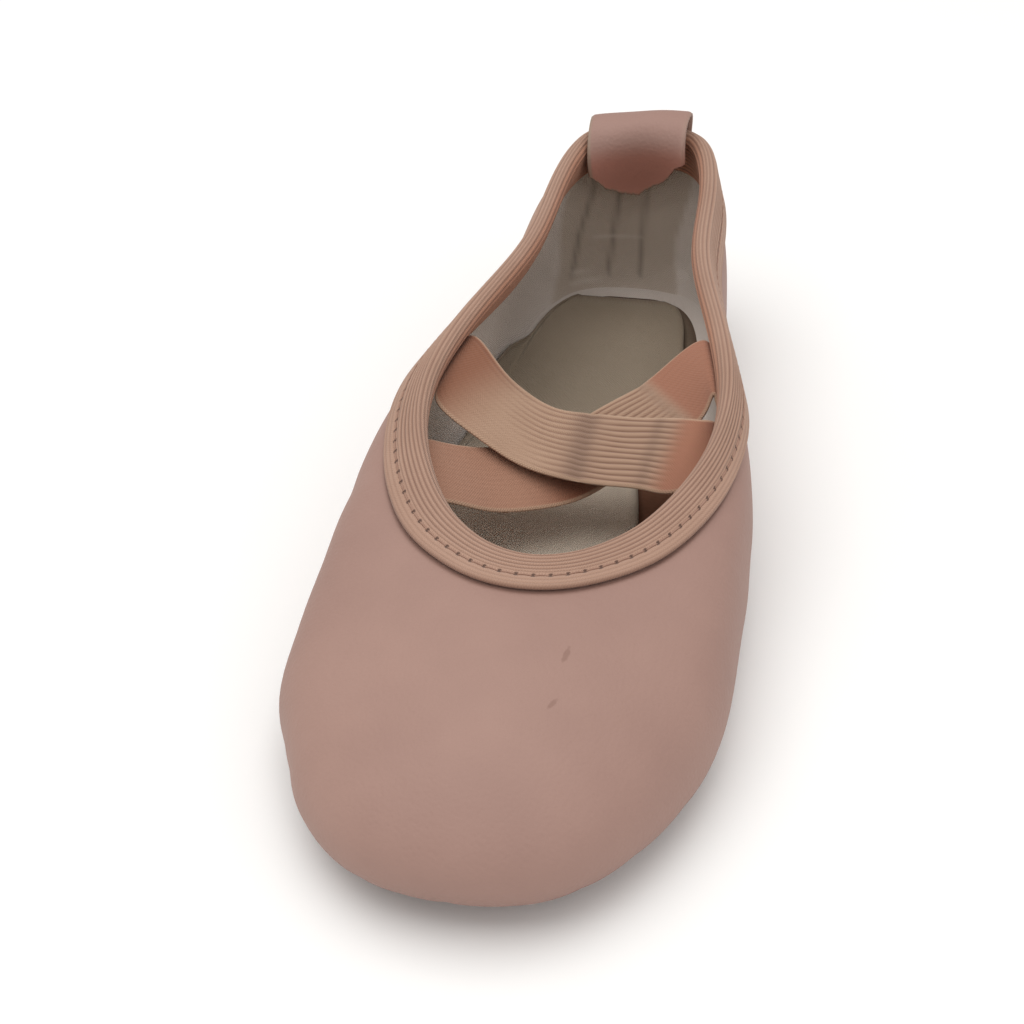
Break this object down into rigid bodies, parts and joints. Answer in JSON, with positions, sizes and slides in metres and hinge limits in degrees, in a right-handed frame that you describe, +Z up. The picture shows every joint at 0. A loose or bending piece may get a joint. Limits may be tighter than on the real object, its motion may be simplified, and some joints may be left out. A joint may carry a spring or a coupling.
{
  "type": "ballet slipper",
  "caption": "Soft leather ballet slipper with a gathered toe, thin sole, elastic collar binding, crossed elastic straps and a folded heel tab.",
  "frame": {"origin": "on the floor, below the middle of the slipper's box", "axes": "+Z up, +Y from the toe to the heel, +X to the right of someone who looks at the toe from in front"},
  "size_m": [0.0786, 0.203, 0.0518],
  "materials": {
    "upper_leather": "matt dusty-pink soft leather, fine grain",
    "binding_elastic": "ribbed pink-tan elastic with a row of stitches",
    "outsole_suede": "napped tan suede, stitched round its edge",
    "insole_cotton": "matt grey-beige cotton with a heel pad",
    "strap_elastic": "ribbed pink-tan elastic, soft sheen",
    "lining_cotton": "matt grey-white cotton with stitched strips"
  },
  "bodies": {
    "root": {"upper": "upper_leather", "collar_binding": "binding_elastic", "outsole": "outsole_suede", "insole": "insole_cotton", "strap_over": "strap_elastic", "strap_under": "strap_elastic", "heel_tab": "upper_leather"}
  },
  "joints": []
}
